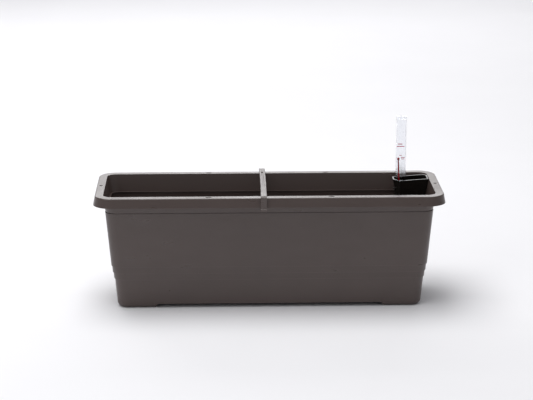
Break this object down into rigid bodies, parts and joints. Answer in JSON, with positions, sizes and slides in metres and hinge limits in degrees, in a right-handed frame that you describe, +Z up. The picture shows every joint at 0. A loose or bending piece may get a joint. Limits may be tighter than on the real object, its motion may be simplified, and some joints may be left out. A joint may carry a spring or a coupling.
{
  "type": "self watering planter",
  "caption": "Long self watering trough planter with a cross brace, a raised deck over the water store, and a corner filler with a float level indicator.",
  "frame": {"origin": "on the floor, under the centre of the bounding box, which is the middle of the trough", "axes": "+X along the trough to the end with the filler, +Y to the rear, where the filler stands, +Z up"},
  "size_m": [0.6, 0.2026, 0.3138],
  "materials": {
    "taupe_plastic": "matte, finely grained",
    "black_plastic": "matte",
    "black_gloss": "semi gloss",
    "clear_plastic": "clear, polished",
    "red_plastic": "gloss",
    "white_foam": "closed cell foam",
    "seal_rubber": "matte",
    "felt": "needle felt"
  },
  "bodies": {
    "trough": {"trough": "taupe_plastic"},
    "brace": {"cross_brace": "taupe_plastic"},
    "left_insert": {"left_deck": "black_plastic", "wick_1": "felt", "wick_2": "felt"},
    "right_insert": {"right_deck": "black_plastic", "wick_3": "felt", "wick_4": "felt"},
    "filler": {"filler_chute": "black_gloss"},
    "indicator": {"indicator_tube": "clear_plastic", "indicator_cap": "clear_plastic"},
    "float": {"float_rod": "red_plastic", "float_block": "white_foam"},
    "plug": {"overflow_plug": "black_plastic", "plug_seal": "seal_rubber"}
  },
  "joints": [
    {"name": "brace_slide", "type": "slide", "parent": "trough", "child": "brace", "axis": [1, 0, 0], "range_m": [-0.23, 0.22]},
    {"name": "left_insert_lift", "type": "slide", "parent": "trough", "child": "left_insert", "axis": [0, 0, 1], "range_m": [0, 0.12]},
    {"name": "right_insert_lift", "type": "slide", "parent": "trough", "child": "right_insert", "axis": [0, 0, 1], "range_m": [0, 0.12]},
    {"name": "filler_lift", "type": "slide", "parent": "trough", "child": "filler", "axis": [0, 0, 1], "range_m": [0, 0.15]},
    {"name": "indicator_pull", "type": "slide", "parent": "filler", "child": "indicator", "axis": [0, 0, 1], "range_m": [0, 0.06]},
    {"name": "float_rise", "type": "slide", "parent": "filler", "child": "float", "axis": [0, 0, 1], "range_m": [0, 0.024]},
    {"name": "plug_pull", "type": "slide", "parent": "trough", "child": "plug", "axis": [0, 1, 0], "range_m": [0, 0.016]}
  ]
}
